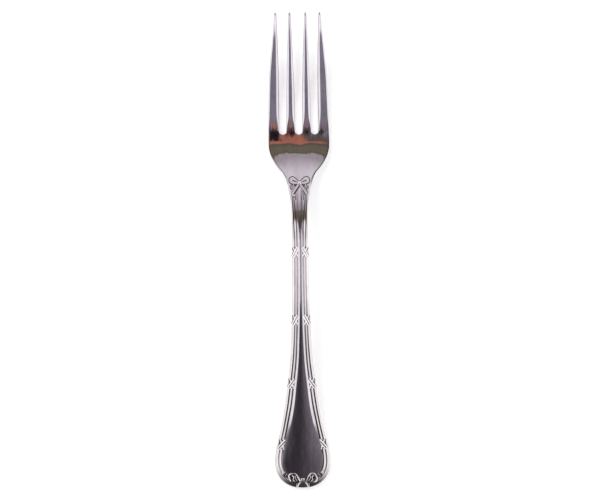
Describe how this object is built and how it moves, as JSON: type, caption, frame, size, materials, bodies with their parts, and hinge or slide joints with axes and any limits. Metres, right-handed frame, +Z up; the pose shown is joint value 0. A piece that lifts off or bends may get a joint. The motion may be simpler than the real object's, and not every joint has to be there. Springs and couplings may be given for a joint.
{
  "type": "dinner fork",
  "caption": "Metal dinner fork with long bevelled tines, a shallow dished palm, a slim arched handle and a border of reeds tied with crossed ribbons and bows.",
  "frame": {"origin": "middle of the bounding box, on the table that the fork lies on", "axes": "+Y from the round end of the handle to the tips of the tines, +Z up out of the decorated upper face, +X to the right when the fork is seen from above with its tines away"},
  "size_m": [0.0262, 0.205, 0.0145],
  "materials": {
    "polished_steel": "polished",
    "panel_steel": "polished",
    "struck_ornament": "polished"
  },
  "bodies": {
    "root": {"tine_outer_left": "polished_steel", "tine_inner_left": "polished_steel", "tine_inner_right": "polished_steel", "tine_outer_right": "polished_steel", "palm": "polished_steel", "neck": "polished_steel", "neck_bow": "struck_ornament", "handle_panel": "panel_steel", "reed_outer_left": "struck_ornament", "reed_outer_right": "struck_ornament", "reed_inner_left": "struck_ornament", "reed_inner_right": "struck_ornament", "ribbon_ties_left": "struck_ornament", "ribbon_ties_right": "struck_ornament", "handle_end": "panel_steel", "end_bow": "struck_ornament"}
  },
  "joints": []
}
